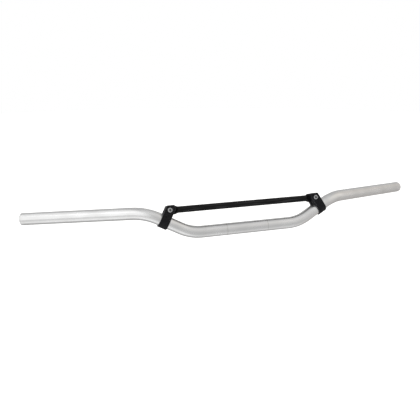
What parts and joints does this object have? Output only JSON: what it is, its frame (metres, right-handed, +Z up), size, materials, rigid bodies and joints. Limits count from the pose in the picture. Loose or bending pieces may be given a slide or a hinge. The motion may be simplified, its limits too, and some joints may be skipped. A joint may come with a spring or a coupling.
{
  "type": "motorcycle handlebar",
  "caption": "Bent aluminium motorcycle handlebar with a centre rise, swept-back grip ends and a black crossbar held by two bolted split clamps.",
  "frame": {"origin": "middle of the straight fork-clamp zone, on the tube's axis", "axes": "+X along the width towards the clutch side, +Y back towards the rider, +Z up, as mounted; the rise leans back 20 degrees"},
  "size_m": [0.8044, 0.1133, 0.0652],
  "materials": {
    "satin_aluminium": "satin clear-anodised tube",
    "black_satin_paint": "satin black",
    "black_casting": "satin black, lightly textured casting",
    "zinc_steel": "bright zinc plate"
  },
  "bodies": {
    "handlebar": {"bar_tube": "satin_aluminium", "crossbar": "black_satin_paint", "clutch_side_clamp": "black_casting", "clutch_side_lock_washer": "zinc_steel", "throttle_side_clamp": "black_casting", "throttle_side_lock_washer": "zinc_steel"},
    "clutch_side_bolt": {"clutch_side_bolt": "zinc_steel"},
    "clutch_side_nut": {"clutch_side_nut": "zinc_steel"},
    "throttle_side_bolt": {"throttle_side_bolt": "zinc_steel"},
    "throttle_side_nut": {"throttle_side_nut": "zinc_steel"}
  },
  "joints": [
    {"name": "clutch_side_bolt_turn", "type": "hinge", "parent": "handlebar", "child": "clutch_side_bolt", "pos_m": [0.14273, 0.01499, 0.04119], "axis": [0, -0.9397, 0.342], "range_deg": [0, 1080]},
    {"name": "clutch_side_nut_slide", "type": "slide", "parent": "handlebar", "child": "clutch_side_nut", "axis": [0, 0.9397, -0.342], "range_m": [0, 0.0024]},
    {"name": "throttle_side_bolt_turn", "type": "hinge", "parent": "handlebar", "child": "throttle_side_bolt", "pos_m": [-0.14273, 0.01499, 0.04119], "axis": [0, -0.9397, 0.342], "range_deg": [0, 1080]},
    {"name": "throttle_side_nut_slide", "type": "slide", "parent": "handlebar", "child": "throttle_side_nut", "axis": [0, 0.9397, -0.342], "range_m": [0, 0.0024]}
  ],
  "couplings": [
    {"joint": "clutch_side_nut_slide", "follows": "clutch_side_bolt_turn", "m_per_rad": 0.00012732},
    {"joint": "throttle_side_nut_slide", "follows": "throttle_side_bolt_turn", "m_per_rad": 0.00012732}
  ]
}
